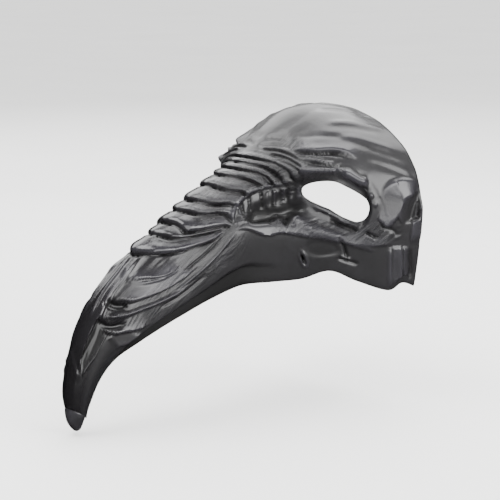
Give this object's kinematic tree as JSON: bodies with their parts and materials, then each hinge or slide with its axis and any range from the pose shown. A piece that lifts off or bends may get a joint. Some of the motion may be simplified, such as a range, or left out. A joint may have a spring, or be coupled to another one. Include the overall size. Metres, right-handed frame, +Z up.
{
  "type": "plague doctor mask",
  "caption": "Half mask moulded as a bird skull with a long hooked beak and open eye sockets, with foam pads inside and an elastic head strap that swings on its temple anchors.",
  "frame": {"origin": "between the wearer's eyes, on the line through them, in the plane of symmetry", "axes": "+Z up, -Y forward along the beak, +X towards the wearer's left; X = 0 is the plane of symmetry"},
  "size_m": [0.1574, 0.22, 0.1865],
  "materials": {
    "shell_pvc": "moulded PVC, black, satin to glossy, with grain and wrinkles",
    "tip_pvc": "moulded PVC plug, black, glossy",
    "foam": "soft open-cell foam with a cloth face, charcoal",
    "anchor_nylon": "moulded nylon, black, matte",
    "plated_steel": "zinc-plated steel",
    "elastic": "woven elastic band, black",
    "nickel": "nickel-plated brass"
  },
  "bodies": {
    "mask": {"mask_shell": "shell_pvc", "beak_tip": "tip_pvc", "brow_pad": "foam", "nose_pad": "foam", "cheek_pad_left": "foam", "cheek_pad_right": "foam", "strap_anchor_left": "anchor_nylon", "strap_anchor_right": "anchor_nylon", "anchor_washer_left": "plated_steel", "anchor_washer_right": "plated_steel", "anchor_screw_left": "plated_steel", "anchor_screw_right": "plated_steel"},
    "strap": {"elastic_strap": "elastic", "strap_eyelet_left": "nickel", "strap_eyelet_right": "nickel"}
  },
  "joints": [
    {"name": "strap_swing", "type": "hinge", "parent": "mask", "child": "strap", "pos_m": [0, 0.03, -0.003], "axis": [1, 0, 0], "range_deg": [-8, 110]}
  ]
}
